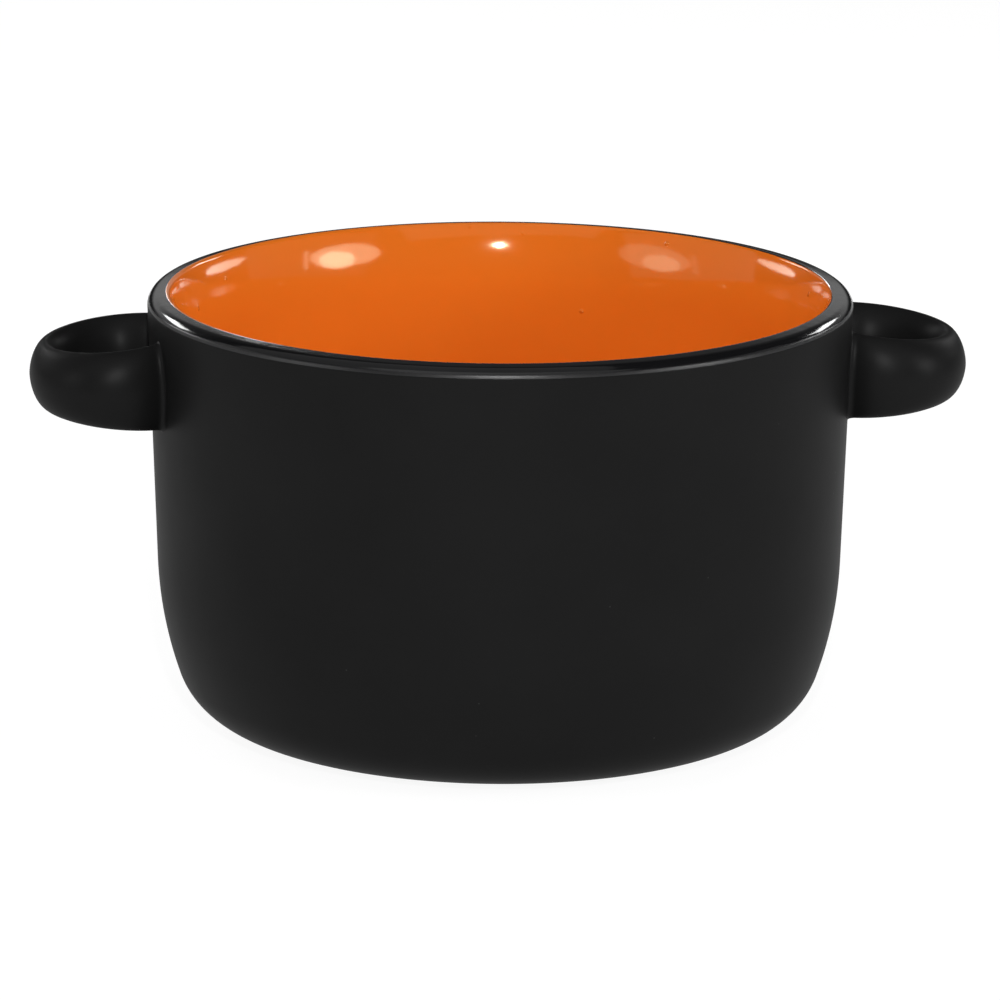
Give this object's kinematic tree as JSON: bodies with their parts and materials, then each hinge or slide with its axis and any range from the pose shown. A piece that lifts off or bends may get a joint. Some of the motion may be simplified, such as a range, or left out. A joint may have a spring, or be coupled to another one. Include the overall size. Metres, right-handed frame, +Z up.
{
  "type": "soup bowl",
  "caption": "Deep round stoneware soup bowl with a loop handle on each side, matte black outside, glossy orange inside, for serving hot soup.",
  "frame": {"origin": "centre of the foot ring's resting face, on the surface that the bowl stands on", "axes": "+Z up through the mouth, +X along the handles, -Y towards the viewer of the picture"},
  "size_m": [0.1602, 0.12, 0.0753],
  "materials": {
    "stoneware": "bare fired stoneware, fine grit, seen only on the foot ring",
    "joining_slip": "fired slip, under the glaze",
    "matte_black_glaze": "satin matte black glaze",
    "gloss_black_glaze": "glossy black glaze",
    "orange_glaze": "glossy orange glaze"
  },
  "bodies": {
    "root": {"bowl_body": "stoneware", "interior_glaze": "orange_glaze", "rim_glaze": "gloss_black_glaze", "exterior_glaze": "matte_black_glaze", "base_glaze": "matte_black_glaze", "left_handle": "stoneware", "left_handle_front_slip": "joining_slip", "left_handle_rear_slip": "joining_slip", "left_handle_glaze": "matte_black_glaze", "right_handle": "stoneware", "right_handle_front_slip": "joining_slip", "right_handle_rear_slip": "joining_slip", "right_handle_glaze": "matte_black_glaze"}
  },
  "joints": []
}
